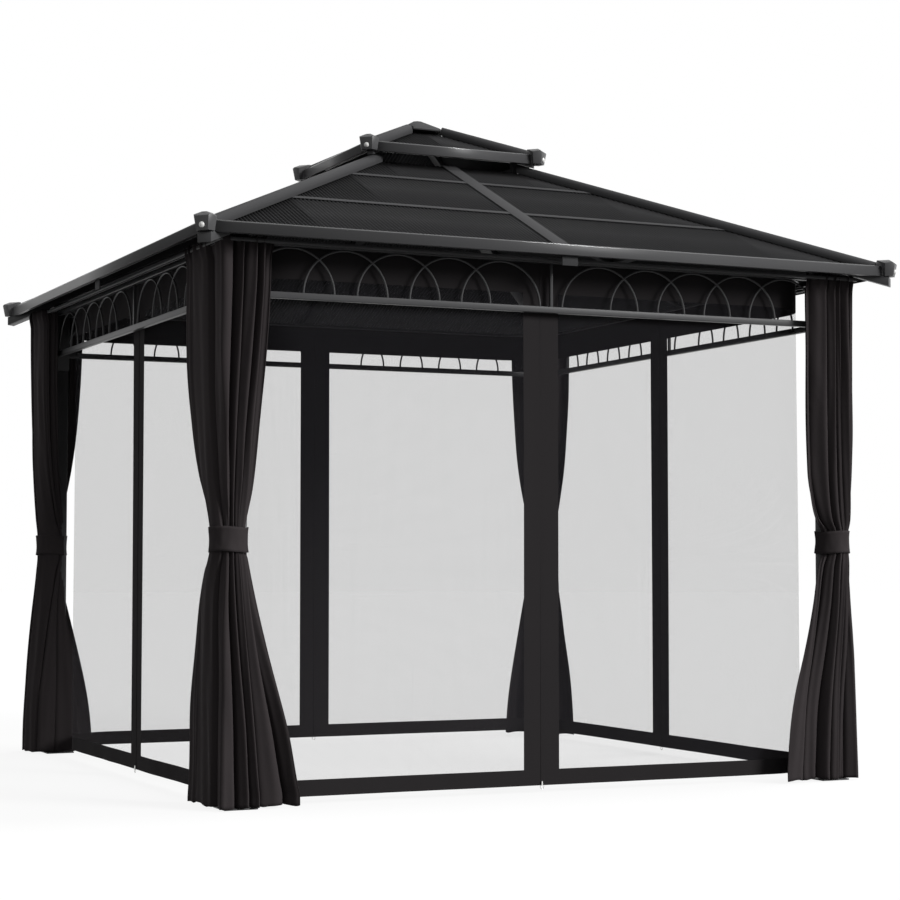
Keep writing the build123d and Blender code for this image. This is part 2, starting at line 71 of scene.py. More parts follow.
def along(table, value):
    # Value read off a short table of (place, value), on a smooth curve through its rows
    if value <= table[0][0]:
        return table[0][1]
    for i in range(len(table) - 1):
        (a, first), (b, last) = table[i], table[i + 1]
        if value <= b:
            before = table[max(0, i - 1)]
            after = table[min(len(table) - 1, i + 2)]
            t = (value - a) / (b - a)
            start = (last - before[1]) / (b - before[0]) * (b - a)
            end = (after[1] - first) / (after[0] - a) * (b - a)
            t2, t3 = t * t, t * t * t
            return ((2 * t3 - 3 * t2 + 1) * first + (t3 - 2 * t2 + t) * start
                    + (3 * t2 - 2 * t3) * last + (t3 - t2) * end)
    return table[-1][1]


def addNode(owner, kind, settings=None, links=None):
    # settings: sockets by name or number, or properties by name, links: an output for each input
    tree = owner.node_tree
    node = tree.nodes.new(kind)
    for key, value in (settings or {}).items():
        if isinstance(key, int) or key in node.inputs:
            node.inputs[key].default_value = value
        else:
            setattr(node, key, value)
    for key, output in (links or {}).items():
        tree.links.new(output, node.inputs[key])
    return node


def newMaterial(name, baseHex, roughness, **settings):
    material = bpy.data.materials.new(name)
    material.use_nodes = True
    shader = material.node_tree.nodes["Principled BSDF"]
    shader.inputs["Base Color"].default_value = linear(baseHex)
    shader.inputs["Roughness"].default_value = roughness
    for key, value in settings.items():
        shader.inputs[key.replace("_", " ")].default_value = value
    return material, shader


def newObject(bm, name, materials):
    mesh = bpy.data.meshes.new(name)
    bm.to_mesh(mesh)
    bm.free()
    for material in materials:
        mesh.materials.append(material)
    made = bpy.data.objects.new(name, mesh)
    bpy.context.scene.collection.objects.link(made)
    return made


def addPiece(bm, name, materials, smoothAngle=None):
    piece = newObject(bm, name, materials)
    if smoothAngle is not None:
        piece.data.shade_smooth()
        piece.data.set_sharp_from_angle(angle=math.radians(smoothAngle))
    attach(piece, "root")
    return piece


def joinInto(whole, part, matrix=None):
    # Adds one mesh to another and frees it
    if matrix is not None:
        bmesh.ops.transform(part, matrix=matrix, verts=part.verts)
    mesh = bpy.data.meshes.new("part")
    part.to_mesh(mesh)
    part.free()
    whole.from_mesh(mesh)
    bpy.data.meshes.remove(mesh)


def edgesOf(geometry):
    return [part for part in geometry if isinstance(part, bmesh.types.BMEdge)]


def vertsOf(geometry):
    return [part for part in geometry if isinstance(part, bmesh.types.BMVert)]


def cutPlane(bm, place, normal, clear=True):
    # Cuts a mesh at a plane, and clears what lies on the normal's side
    geometry = bm.verts[:] + bm.edges[:] + bm.faces[:]
    return bmesh.ops.bisect_plane(bm, geom=geometry, plane_co=place, plane_no=normal, clear_outer=clear)


def cutAtHips(bm, gap):
    # Keeps what lies in front of both hip lines, and short of them by the gap
    for side in (-1, 1):
        normal = Vector((side, 1, 0)).normalized()
        cutPlane(bm, -normal * gap, normal)


def roundedBox(low, high, radius):
    # A closed box between two corners, with its edges rounded
    bm = bmesh.new()
    bmesh.ops.create_cube(bm, size=1)
    low, high = Vector(low), Vector(high)
    bmesh.ops.scale(bm, vec=high - low, verts=bm.verts)
    bmesh.ops.translate(bm, vec=(low + high) / 2, verts=bm.verts)
    bmesh.ops.bevel(bm, geom=bm.edges[:], offset=radius, segments=3, profile=0.5, affect="EDGES",
                    material=-1)
    return bm


def addSolidify(piece, thickness, offset=0.0):
    shell = piece.modifiers.new("thickness", "SOLIDIFY")
    shell.thickness = thickness
    shell.offset = offset


# Materials
finish = {
    "steelHex": "#464647",
    "trimHex": "#3e3e3f",
    "sheetHex": "#2f2f30",
    "capHex": "#4a4a4b",
    "boltHex": "#e4e4e2",
    "zincHex": "#b4b4b2",
    "clothHex": "#383435",
    "bloomHex": "#8f8c8e",
    "bandHex": "#2a2829",
    "netHex": "#37363a",
    "orangePeel": 5 * mm,     # the real one is near 1 mm, drawn coarser so that it shows
    "sheetCloud": 250 * mm,
    "clothThread": 2.4 * mm,  # real threads are near 0.4 mm, drawn coarser so that they show
    "netHole": 4 * mm,        # real holes are near 1.5 mm, drawn coarser so that they show
    "netThread": 0.17,        # thread's share of a hole's pitch
    "threadCover": 0.55,      # how much a thread hides, and how much the fine yarn between them does
    "holeCover": 0.14,
}


def addOrangePeel(material, shader, size, strength):
    # The slight waviness of a coat or a moulding
    place = addNode(material, "ShaderNodeTexCoord")
    pattern = addNode(material, "ShaderNodeTexNoise", {"Scale": 1 / size, "Detail": 2.0},
                      {"Vector": place.outputs["Object"]})
    bump = addNode(material, "ShaderNodeBump", {"Strength": strength, "Distance": 0.2 * mm},
                   {"Height": pattern.outputs["Fac"]})
    material.node_tree.links.new(bump.outputs["Normal"], shader.inputs["Normal"])


def powderCoatedSteel():
    # Steel tube with a baked powder coat: dark and even, with a thin pale line where light grazes an edge
    material, shader = newMaterial("powderCoatedSteel", finish["steelHex"], 0.36, Specular_IOR_Level=0.16)
    addOrangePeel(material, shader, finish["orangePeel"], 0.12)
    return material


def foldedEdgeSteel():
    # The same coat drawn thin and smooth over a tight fold: it shows as a pale line along the edge
    return newMaterial("foldedEdgeSteel", finish["steelHex"], 0.14, Specular_IOR_Level=1.0)[0]


def mattTrimSteel():
    # Hip caps and strips in a matt coat: the same grey, without the bloom that gloss shows at a low angle
    material, shader = newMaterial("mattTrimSteel", finish["trimHex"], 0.6, IOR=1.12)
    addOrangePeel(material, shader, finish["orangePeel"], 0.12)
    return material


def coatedRoofSheet():
    # Rolled sheet with a matt lacquer: flatter and darker than the frame, and a little cloudy
    material, shader = newMaterial("coatedRoofSheet", finish["sheetHex"], 0.7, Specular_IOR_Level=0.06)
    place = addNode(material, "ShaderNodeTexCoord")
    cloud = addNode(material, "ShaderNodeTexNoise", {"Scale": 1 / finish["sheetCloud"], "Detail": 3.0},
                    {"Vector": place.outputs["Object"]})
    tone = addNode(material, "ShaderNodeMapRange", {"To Min": 0.66, "To Max": 0.76},
                   {"Value": cloud.outputs["Fac"]})
    material.node_tree.links.new(tone.outputs["Result"], shader.inputs["Roughness"])
    return material


def mouldedNylon():
    # Injection moulded corner cap: even, a little smoother than the powder coat
    material, shader = newMaterial("mouldedNylon", finish["capHex"], 0.36, Specular_IOR_Level=0.25)
    addOrangePeel(material, shader, 2 * finish["orangePeel"], 0.06)
    return material


def zincPlatedSteel():
    # Plated zip pull: bright, greyish metal
    return newMaterial("zincPlatedSteel", finish["zincHex"], 0.3, Metallic=1.0)[0]


def boltCap():
    # White moulded cap pushed over a bolt head
    return newMaterial("boltCap", finish["boltHex"], 0.35)[0]


def wovenPolyester(name, baseHex, creaseSize):
    # Woven polyester cloth: dull, with a faint pale bloom on folds that turn away and a fine weave
    material, shader = newMaterial(name, baseHex, 0.9, Specular_IOR_Level=0.05, Sheen_Weight=0.02,
                                   Sheen_Roughness=0.5)
    shader.inputs["Sheen Tint"].default_value = linear(finish["bloomHex"])
    place = addNode(material, "ShaderNodeTexCoord")
    thread = 2 * math.pi / finish["clothThread"] / 20    # a wave texture's scale of 1 is 20 radians a unit
    waves = []
    for direction in ("X", "Y"):
        waves.append(addNode(material, "ShaderNodeTexWave", {"bands_direction": direction, "Scale": thread},
                             {"Vector": place.outputs["UV"]}))
    weave = addNode(material, "ShaderNodeMath", {"operation": "MULTIPLY"},
                    {index: wave.outputs["Fac"] for index, wave in enumerate(waves)})
    crease = addNode(material, "ShaderNodeTexNoise", {"Scale": 1 / creaseSize, "Detail": 4.0},
                     {"Vector": place.outputs["Object"]})
    fine = addNode(material, "ShaderNodeBump", {"Strength": 0.25, "Distance": 0.3 * mm},
                   {"Height": weave.outputs["Value"]})
    coarse = addNode(material, "ShaderNodeBump", {"Strength": 0.35, "Distance": 5 * mm},
                     {"Height": crease.outputs["Fac"], "Normal": fine.outputs["Normal"]})
    material.node_tree.links.new(coarse.outputs["Normal"], shader.inputs["Normal"])
    return material


def netMesh():
    # Knitted polyester net: thin dark threads round open holes, so what is behind shows a little greyer
    material, shader = newMaterial("netMesh", finish["netHex"], 0.8, Specular_IOR_Level=0.1)
    place = addNode(material, "ShaderNodeTexCoord")
    split = addNode(material, "ShaderNodeSeparateXYZ", links={"Vector": place.outputs["UV"]})
    threads = []
    for axis in ("X", "Y"):
        steps = addNode(material, "ShaderNodeMath", {"operation": "DIVIDE", 1: finish["netHole"]},
                        {0: split.outputs[axis]})
        part = addNode(material, "ShaderNodeMath", {"operation": "FRACT"}, {0: steps.outputs["Value"]})
        threads.append(addNode(material, "ShaderNodeMath",
                               {"operation": "LESS_THAN", 1: finish["netThread"] / 2},
                               {0: part.outputs["Value"]}))
    either = addNode(material, "ShaderNodeMath", {"operation": "MAXIMUM"},
                     {index: thread.outputs["Value"] for index, thread in enumerate(threads)})
    cover = addNode(material, "ShaderNodeMapRange",
                    {"To Min": finish["holeCover"], "To Max": finish["threadCover"]},
                    {"Value": either.outputs["Value"]})
    material.node_tree.links.new(cover.outputs["Result"], shader.inputs["Alpha"])
    return material


steel = powderCoatedSteel()
edgeSteel = foldedEdgeSteel()
trimSteel = mattTrimSteel()
sheetMetal = coatedRoofSheet()
nylon = mouldedNylon()
zinc = zincPlatedSteel()
boltWhite = boltCap()
curtainCloth = wovenPolyester("wovenPolyester", finish["clothHex"], 60 * mm)
bandCloth = wovenPolyester("bandTape", finish["bandHex"], 150 * mm)
netCloth = netMesh()
print("materials made")


# Frame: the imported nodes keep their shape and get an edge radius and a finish
edgeRadius = {
    "post": 1.5 * mm,
    "eave_corner_caps": 3 * mm,
    "upper_corner_caps": 3 * mm,
    "finial_cap": 1.2 * mm,
    "hip_rafter": 2 * mm,
    "crown_frame": 1.5 * mm,
    "": 0.8 * mm,             # every other node
}
trimNodes = ("hip_caps", "upper_hip_caps", "centre_rafters", "purlin", "finial_cap")
slotFinish = {
    "frame_metal": steel,
    "cap_metal": nylon,
    "track_metal": steel,
    "roof_sheet": sheetMetal,
    "curtain_cloth": curtainCloth,
    "netting": netCloth,
}


def dressNode(name, node, slotName):
    # Welds the loose triangles, rounds the edges and splits the normals at what stays sharp
    node.data.materials.clear()
    node.data.materials.append(trimSteel if name.startswith(trimNodes) else slotFinish[slotName])
    with bpy.context.temp_override(object=node, active_object=node, selected_objects=[node]):
        if node.data.has_custom_normals:
            bpy.ops.mesh.customdata_custom_splitnormals_clear()
    node.data.shade_smooth()
    weld = node.modifiers.new("weld", "WELD")
    weld.merge_threshold = 0.01 * mm
    bevel = node.modifiers.new("edges", "BEVEL")
    bevel.width = next(radius for key, radius in edgeRadius.items() if name.startswith(key))
    bevel.segments = 2
    bevel.limit_method = "ANGLE"
    bevel.angle_limit = math.radians(30)
    split = node.modifiers.new("normals", "EDGE_SPLIT")
    split.split_angle = math.radians(32)


slotOfNode = {row["node"]: row["material_slot"] for row in frame["record"]["subparts"]}
for nodeName, nodeObject in frame["nodes"].items():
    dressNode(nodeName, nodeObject, slotOfNode[nodeName])
print("frame dressed")


# Roof sheets: rolled ribs that run down each slope
roof = {
    "eaveHalf": 1.5,
    "eaveHeight": 2.110,
    "pitch": 24.66,
    "purlinRuns": (1.015, 0.592),
    "crownHalf": 0.3403,
    "upperHalf": 0.410,
    "upperHeight": 2.688,
    "upperHead": 0.0223,
    "fasciaLip": 18.3 * mm,
    "hipGap": 10 * mm,        # sheets end this far from a hip line, under its cap
    "webGap": 2.3 * mm,       # and this far from a centre rafter's middle, half as far from a purlin's
    "ribPitch": 17 * mm,
    "ribDepth": 7 * mm,
    "ribPoints": 6,
    "sheet": 0.8 * mm,
}


def slopeMatrix(half, height, pitch):
    # X along the eave, Y up the slope, Z out of the roof
    return Matrix.Translation((0, -half, height)) @ Matrix.Rotation(math.radians(pitch), 4, "X")


def ribbedSheet(half, height, lowRun, highRun, left, right):
    # One sheet of the front slope between two distances from the centre, cut at both hips
    cosPitch = math.cos(math.radians(roof["pitch"]))
    lowUp = (half - lowRun) / cosPitch
    highUp = (half - highRun) / cosPitch
    points = int((right - left) / roof["ribPitch"] * roof["ribPoints"])
    bm = bmesh.new()
    bmesh.ops.create_grid(bm, x_segments=points, y_segments=1, size=0.5)
    for vert in bm.verts:
        x = mix(left, right, vert.co.x + 0.5)
        crest = 0.5 + 0.5 * math.cos(2 * math.pi * x / roof["ribPitch"])
        up = mix(lowUp, highUp, vert.co.y + 0.5)
        vert.co = (x, up, -roof["ribDepth"] * (1 - crest) - roof["sheet"])
    bmesh.ops.transform(bm, matrix=slopeMatrix(half, height, roof["pitch"]), verts=bm.verts)
    cutAtHips(bm, roof["hipGap"])
    return bm


def addSheets(name, node, spans, half, height, turn):
    whole = bmesh.new()
    for lowRun, highRun, left, right in spans:
        joinInto(whole, ribbedSheet(half, height, lowRun, highRun, left, right))
    bmesh.ops.transform(whole, matrix=turn, verts=whole.verts)
    piece = addPiece(whole, name, [sheetMetal], 50)
    addSolidify(piece, roof["sheet"], 1.0)
    if node:
        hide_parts(node)
    return piece


webGap = roof["webGap"]
sheetEnds = [roof["eaveHalf"] - roof["fasciaLip"]]
for run in roof["purlinRuns"]:
    sheetEnds += [run + webGap / 2, run - webGap / 2]
sheetEnds.append(roof["crownHalf"])
lowerSpans = []
for lowRun, highRun in zip(sheetEnds[0::2], sheetEnds[1::2]):
    lowerSpans += [(lowRun, highRun, -lowRun, -webGap), (lowRun, highRun, webGap, lowRun)]
upperLow = roof["upperHalf"] - roof["fasciaLip"]
upperSpans = [(upperLow, roof["upperHead"], -upperLow, upperLow)]
for index, sideName in enumerate(sideNames):
    addSheets("ribbed_sheets_" + sideName, "roof_sheets_" + sideName, lowerSpans, roof["eaveHalf"],
              roof["eaveHeight"], quarterTurns[index])
    upperSheet = addSheets("ribbed_upper_sheet_" + sideName, None, upperSpans, roof["upperHalf"],
                           roof["upperHeight"], quarterTurns[index])
    if index == 0:
        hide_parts("upper_sheets")
print("roof sheets made")


# Fascias: folded channels with a round upper fold, cut short of the hip lines
fascia = {
    "height": 44 * mm,
    "lip": 18 * mm,
    "sheet": 2 * mm,
    "upperFold": 5 * mm,
    "lowerFold": 1.5 * mm,
    "foldSteps": 6,
    "hipGap": 28.3 * mm,
    "bottom": 2.098,
    "upperBottom": 2.671,
}


def fasciaOutline():
    # Outer side of the fold as (distance behind the face, height), from the lower lip to the upper one
    points = [(fascia["lip"], 0.0)]
    folds = ((fascia["lowerFold"], 0.0, 270), (fascia["upperFold"], fascia["height"], 180))
    for radius, height, first in folds:
        middle = height + (radius if height == 0 else -radius)
        for step in range(fascia["foldSteps"] + 1):
            turn = math.radians(first - 90 * step / fascia["foldSteps"])
            points.append((radius + radius * math.cos(turn), middle + radius * math.sin(turn)))
    points.append((fascia["lip"], fascia["height"]))
    return points


def makeFascia(half, bottom):
    # The front fascia, with the smooth edge finish on its upper fold
    bm = bmesh.new()
    rows = []
    for x in (-half, half):
        rows.append([bm.verts.new((x, -half + back, bottom + height)) for back, height in fasciaOutline()])
    for i in range(len(rows[0]) - 1):
        face = bm.faces.new((rows[0][i], rows[1][i], rows[1][i + 1], rows[0][i + 1]))
        if fascia["foldSteps"] + 1 < i < len(rows[0]) - 2:
            face.material_index = 1
    cutAtHips(bm, fascia["hipGap"])
    return bm


def addFascias():
    whole = bmesh.new()
    for index, sideName in enumerate(sideNames):
        bm = makeFascia(roof["eaveHalf"], fascia["bottom"])
        bmesh.ops.transform(bm, matrix=quarterTurns[index], verts=bm.verts)
        piece = addPiece(bm, "folded_fascia_" + sideName, [steel, edgeSteel], 40)
        addSolidify(piece, fascia["sheet"], -1.0)
        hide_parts("eave_fascia_" + sideName)
        joinInto(whole, makeFascia(roof["upperHalf"], fascia["upperBottom"]), quarterTurns[index])
    piece = addPiece(whole, "folded_upper_fascias", [steel, edgeSteel], 40)
    addSolidify(piece, fascia["sheet"], -1.0)
    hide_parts("upper_fascias")


addFascias()
print("fascias made")


# Friezes: square rails, round rods bent to overlapping arches and end plates
frieze = {
    "face": 1.330,
    "end": 1.2717,
    "bottom": 1.8905,
    "top": 2.108,
    "railHeight": 25 * mm,
    "topRailHeight": 20 * mm,
    "railDepth": 25 * mm,
    "railRound": 3 * mm,
    "archRadius": 0.172,
    "archFirst": 0.221,
    "archPitch": 0.2185,
    "archesEachHalf": 5,
    "archSteps": 40,
    "rodRadius": 4.3 * mm,
    "rodIn": 1 * mm,          # how far the arches' crowns and their feet stand in the rails
    "footIn": 2 * mm,
    "barWidth": 12 * mm,
    "edgeRound": 1 * mm,
    "plateThickness": 4 * mm,
    "plateWidth": 58 * mm,
    "plateBottom": 1.825,
}


def makeArch(x, foot, low):
    # A round rod: up one leg, half round, down the other leg
    bm = bmesh.new()
    y = -frieze["face"] + frieze["railDepth"] / 2
    radius = frieze["archRadius"]
    bmesh.ops.create_circle(bm, segments=12, radius=frieze["rodRadius"])
    bmesh.ops.translate(bm, vec=(x + radius, y, low), verts=bm.verts)
    up = bmesh.ops.extrude_edge_only(bm, edges=bm.edges[:])["geom"]
    top = vertsOf(up)
    bmesh.ops.translate(bm, vec=(0, 0, foot - low), verts=top)
    edges = [edge for edge in edgesOf(up) if all(vert in top for vert in edge.verts)]
    last = bmesh.ops.spin(bm, geom=top + edges, axis=(0, -1, 0), cent=(x, y, foot), angle=math.pi,
                          steps=frieze["archSteps"])["geom_last"]
    down = bmesh.ops.extrude_edge_only(bm, edges=edgesOf(last))["geom"]
    bmesh.ops.translate(bm, vec=(0, 0, low - foot), verts=vertsOf(down))
    return bm


def makeFrieze():
    whole = bmesh.new()
    end = frieze["end"]
    front = -frieze["face"]
    back = front + frieze["railDepth"]
    lowTop = frieze["bottom"] + frieze["railHeight"]
    highLow = frieze["top"] - frieze["topRailHeight"]
    for low, high in ((frieze["bottom"], lowTop), (highLow, frieze["top"])):
        joinInto(whole, roundedBox((-end, front, low), (end, back, high), frieze["railRound"]))
    foot = highLow - frieze["archRadius"] - frieze["rodRadius"] + frieze["rodIn"]
    low, high = lowTop - frieze["footIn"], highLow + frieze["footIn"]
    for side in (-1, 1):
        for step in range(frieze["archesEachHalf"]):
            joinInto(whole, makeArch(side * (frieze["archFirst"] + step * frieze["archPitch"]), foot, low))
    bar = frieze["barWidth"] / 2
    middle = front + frieze["railDepth"] / 2
    joinInto(whole, roundedBox((-bar, middle - bar, low), (bar, middle + bar, high), frieze["edgeRound"]))
    for side in (-1, 1):
        inner, outer = sorted((side * end, side * (end - frieze["plateThickness"])))
        joinInto(whole, roundedBox((inner, front, frieze["plateBottom"]),
                                   (outer, front + frieze["plateWidth"], frieze["top"]), frieze["edgeRound"]))
    return whole


for index, sideName in enumerate(sideNames):
    bm = makeFrieze()
    bmesh.ops.transform(bm, matrix=quarterTurns[index], verts=bm.verts)
    piece = addPiece(bm, "arched_frieze_" + sideName, [steel], 40)
    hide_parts("frieze_" + sideName)
print("friezes made")


# Bolt caps: white domes on the corner caps
bolts = {
    "domeRadius": 11.5 * mm,
    "domeHeight": 8 * mm,
    "lowerPlace": (-1.5140, -1.5140, 2.117),
    "upperPlace": (-0.4240, -0.4240, 2.690),
}


def makeDome(place, turn):
    # Half a sphere, flattened, that faces out along the diagonal of its corner
    radius, height = bolts["domeRadius"], bolts["domeHeight"]
    bm = bmesh.new()
    bmesh.ops.create_uvsphere(bm, u_segments=20, v_segments=12, radius=radius)
    cut = cutPlane(bm, (0, 0, 0), (0, 0, -1))
    bmesh.ops.holes_fill(bm, edges=edgesOf(cut["geom_cut"]))
    bmesh.ops.scale(bm, vec=(1, 1, height / radius), verts=bm.verts)
    facing = Vector((-1, -1, 0)).to_track_quat("Z", "Y").to_matrix().to_4x4()
    bmesh.ops.transform(bm, matrix=turn @ Matrix.Translation(place) @ facing, verts=bm.verts)
    return bm


for level in ("lower", "upper"):
    whole = bmesh.new()
    for turn in quarterTurns:
        joinInto(whole, makeDome(bolts[level + "Place"], turn))
    addPiece(whole, level + "_bolt_caps", [boltWhite], 40)
print("bolt caps made")


# Curtains: flat cloths gathered into folds round each post and tied at the waist
curtain = {
    "cornerRounds": 3,
    "cornerCut": 14 * mm,
    "top": 2.082,
    "header": 2.106,          # ruffled edge that stands up in front of the track
    "headerStart": 2.03,
    "headerStand": 6 * mm,
    "bottom": 6 * mm,
    "waistHeight": 0.988,
    "waistCentre": 1.322,
    "waistRadius": 68 * mm,
    "foldDepth": 56 * mm,
    "depthUsed": 1.1,         # cloth that a valley takes up, of its depth
    "seamDepth": 12 * mm,     # narrow gap at the foot of a valley, and its half width
    "seamWidth": 6 * mm,
    "waistDepth": 20 * mm,
    "seamFrom": 0.6,          # a shallower valley has no such gap
    "lineLength": 0.6,        # rough length of the cloth's line, which turns shares into metres there
    "foldLean": 0.16,         # how far a crest leans over its right hand valley, of the fold's depth
    "foldWander": 0.1,        # how far a crest lies back here and there, of the fold's depth
    "waistLevel": 0.6,        # how much the waist brings crests that lie back to the front
    "headLevel": 0.15,        # how much shallower the folds are in the ruffled edge
    "tangentStep": 0.012,     # of the line's length, to each side of a point
    "ripple": 1.6 * mm,
    "waistRipple": 1.2 * mm,
    "crease": 4 * mm,
    "ruffle": 5 * mm,
    "ruffleSway": 4 * mm,
    "rufflesPerFold": 2.6,
    "hemWander": 14 * mm,
    "headWander": 8 * mm,
    "spreadStart": 1.1,       # the line turns from its shape at the top to that at the hem over these heights
    "spreadEnd": 0.2,
    "rows": 150,
    "columnsPerFold": 22,
    "cloth": 1.0 * mm,
    "flatHeight": 2.12,
}
# How far the cloth is drawn to the waist, by height
plainGather = [
    (0.0, 0.0), (0.2, 0.1), (0.46, 0.33), (0.68, 0.59), (0.857, 0.86), (0.94, 1.0),
    (1.035, 1.0), (1.22, 0.6), (1.45, 0.28), (1.70, 0.1), (2.0, 0.0), (2.2, 0.0)]
wideGather = [
    (0.02, 0.0), (0.12, 0.05), (0.37, 0.1), (0.60, 0.28), (0.857, 0.6), (0.95, 1.0),
    (1.03, 1.0), (1.22, 0.44), (1.49, 0.134), (1.72, 0.02), (2.0, 0.0)]
steadyGather = [
    (0.05, 0.0), (0.105, 0.056), (0.325, 0.247), (0.549, 0.457), (0.758, 0.685), (0.916, 0.9), (0.95, 1.0),
    (1.03, 1.0), (1.18, 0.69), (1.40, 0.44), (1.65, 0.19), (1.89, 0.04), (2.05, 0.0)]
lateGather = [
    (0.06, 0.0), (0.34, 0.17), (0.53, 0.37), (0.73, 0.555), (0.885, 0.72), (0.95, 1.0),
    (1.03, 1.0), (1.08, 0.5), (1.16, 0.2), (1.29, 0.03), (2.0, 0.0)]
boldGather = [
    (0.0, 0.0), (0.2, 0.06), (0.46, 0.25), (0.68, 0.5), (0.857, 0.8), (0.94, 1.0),
    (1.035, 1.0), (1.12, 0.7), (1.3, 0.35), (1.45, 0.18), (1.70, 0.04), (2.0, 0.0), (2.2, 0.0)]
# "top" and "hem" are the corners of the cloth's line in plan, and "waist" is the angles it takes up there.
# Every curtain is made at the front left corner, seen from outside with its left edge first, and turned.
# A fold: its right edge at top, waist and hem, its crest's place, how far that lies back at top and hem,
# the powers of its rise and fall, where less makes a flat panel with steep edges, and the depth of the
# valley on its right. The depths are shares of the fold depth.
curtainShapes = {
    "front_left": {
        "top": ((-1.402, -0.985), (-1.402, -1.402), (-1.183, -1.402), (-1.18, -1.40)),
        "hem": ((-1.402, -1.045), (-1.402, -1.402), (-1.09, -1.402), (-1.085, -1.40)),
        "waist": (105, 345), "gathers": (wideGather, steadyGather), "shift": (-0.018, 0.004),
        "folds": (
            (0.09, 0.20, 0.13, 0.0, 0.0, 0.0, 1.0, 0.3, 0.1),
            (0.40, 0.53, 0.40, 0.6, 0.0, 0.0, 0.3, 0.12, 0.5),
            (0.745, 0.62, 0.635, 0.86, 0.0, 0.0, 1.3, 0.5, 1.2),
            (0.792, 0.69, 0.711, 0.8, 0.0, 0.05, 0.6, 0.5, 1.1),
            (0.879, 0.76, 0.772, 0.84, 0.0, 0.1, 0.7, 0.5, 1.2),
            (0.922, 0.86, 0.93, 0.75, 0.0, 0.5, 0.6, 0.6, 1.2),
            (1.0, 1.0, 1.0, 1.0, 0.85, 0.0, 1.0, 1.0, 1.0),
        ),
    },
    "front_right": {
        "top": ((-1.402, -1.163), (-1.402, -1.402), (-1.17, -1.402), (-1.165, -1.40)),
        "hem": ((-1.402, -1.040), (-1.402, -1.402), (-1.13, -1.402), (-1.125, -1.40)),
        "waist": (105, 345), "gathers": (lateGather, plainGather), "shift": (0.0, 0.0),
        "folds": (
            (0.034, 0.10, 0.15, 0.0, 0.4, 0.0, 1.0, 0.3, 0.8),
            (0.20, 0.25, 0.264, 0.85, 0.0, 0.6, 1.1, 0.6, 1.0),
            (0.293, 0.34, 0.335, 0.7, 0.0, 0.0, 0.7, 0.6, 0.6),
            (0.344, 0.42, 0.414, 0.6, 0.1, 0.1, 0.7, 0.5, 1.0),
            (0.438, 0.50, 0.476, 0.7, 0.0, 0.65, 0.7, 0.5, 1.0),
            (0.60, 0.64, 0.64, 0.75, 0.0, 0.0, 0.9, 0.6, 1.0),
            (0.74, 0.76, 0.76, 0.5, 0.1, 0.1, 0.7, 0.6, 1.0),
            (0.87, 0.88, 0.88, 0.6, 0.0, 0.1, 0.7, 0.6, 1.0),
            (1.0, 1.0, 1.0, 1.0, 0.0, 0.0, 0.7, 1.0, 1.0),
        ),
    },
    "back_right": {
        "top": ((-1.402, -1.177), (-1.402, -1.402), (-1.177, -1.402), (-1.17, -1.40)),
        "hem": ((-1.402, -1.137), (-1.402, -1.402), (-1.137, -1.402), (-1.13, -1.40)),
        "waist": (105, 345), "gathers": (plainGather, plainGather), "shift": (0.0, 0.0),
        "folds": (
            (0.11, 0.12, 0.14, 0.0, 0.0, 0.0, 1.0, 0.6, 1.0),
            (0.25, 0.26, 0.27, 0.6, 0.1, 0.1, 0.7, 0.6, 1.0),
            (0.36, 0.37, 0.35, 0.7, 0.0, 0.3, 0.7, 0.6, 1.0),
            (0.49, 0.50, 0.50, 0.5, 0.1, 0.0, 0.7, 0.6, 1.0),
            (0.62, 0.63, 0.64, 0.6, 0.0, 0.0, 0.7, 0.6, 1.0),
            (0.72, 0.74, 0.73, 0.7, 0.2, 0.2, 0.7, 0.6, 1.0),
            (0.88, 0.87, 0.86, 0.6, 0.0, 0.1, 0.7, 0.6, 1.0),
            (1.0, 1.0, 1.0, 1.0, 0.0, 0.0, 0.7, 1.0, 1.0),
        ),
    },
    "back_left": {
        "top": ((-1.415, -1.165), (-1.428, -1.428), (-1.16, -1.415), (-1.15, -1.355)),
        "hem": ((-1.41, -1.100), (-1.448, -1.448), (-1.238, -1.42), (-1.238, -1.215)),
        "waist": (150, 440), "gathers": (plainGather, boldGather), "shift": (-0.006, -0.009),
        "folds": (
            (0.12, 0.10, 0.10, 0.0, 0.1, 0.1, 1.0, 0.4, 1.0),
            (0.25, 0.20, 0.20, 0.6, 0.0, 0.0, 0.7, 0.5, 1.0),
            (0.37, 0.28, 0.30, 0.5, 0.1, 0.1, 0.7, 0.5, 1.0),
            (0.48, 0.36, 0.42, 0.5, 0.0, 0.0, 0.6, 0.5, 0.9),
            (0.54, 0.46, 0.52, 0.6, 0.0, 0.05, 0.7, 0.4, 0.3),
            (0.86, 0.80, 0.70, 0.4, 0.0, 0.0, 0.2, 0.15, 0.3),
            (0.93, 0.90, 0.85, 0.5, 0.1, 0.1, 0.6, 0.4, 0.3),
            (1.0, 1.0, 1.0, 1.0, 0.1, 0.1, 0.5, 1.0, 0.3),
        ),
    },
}


def roundedLine(corners):
    # The plan line with its corners cut round, and the distance along it at each point
    points = [Vector((x, y, 0)) for x, y in corners]
    for level in range(curtain["cornerRounds"]):
        cut = [points[0]]
        for a, b in zip(points, points[1:]):
            reach = min(0.25, curtain["cornerCut"] / 4 ** level / max((b - a).length, 1e-6))
            cut += [a.lerp(b, reach), b.lerp(a, reach)]
        points = cut + [points[-1]]
    distances = [0.0]
    for a, b in zip(points, points[1:]):
        distances.append(distances[-1] + (b - a).length)
    return points, distances


def linePoint(line, share):
    points, distances = line
    run = share * distances[-1]
    for index in range(len(points) - 1):
        if run <= distances[index + 1]:
            span = distances[index + 1] - distances[index]
            return points[index].lerp(points[index + 1], (run - distances[index]) / max(span, 1e-9))
    return points[-1].copy()


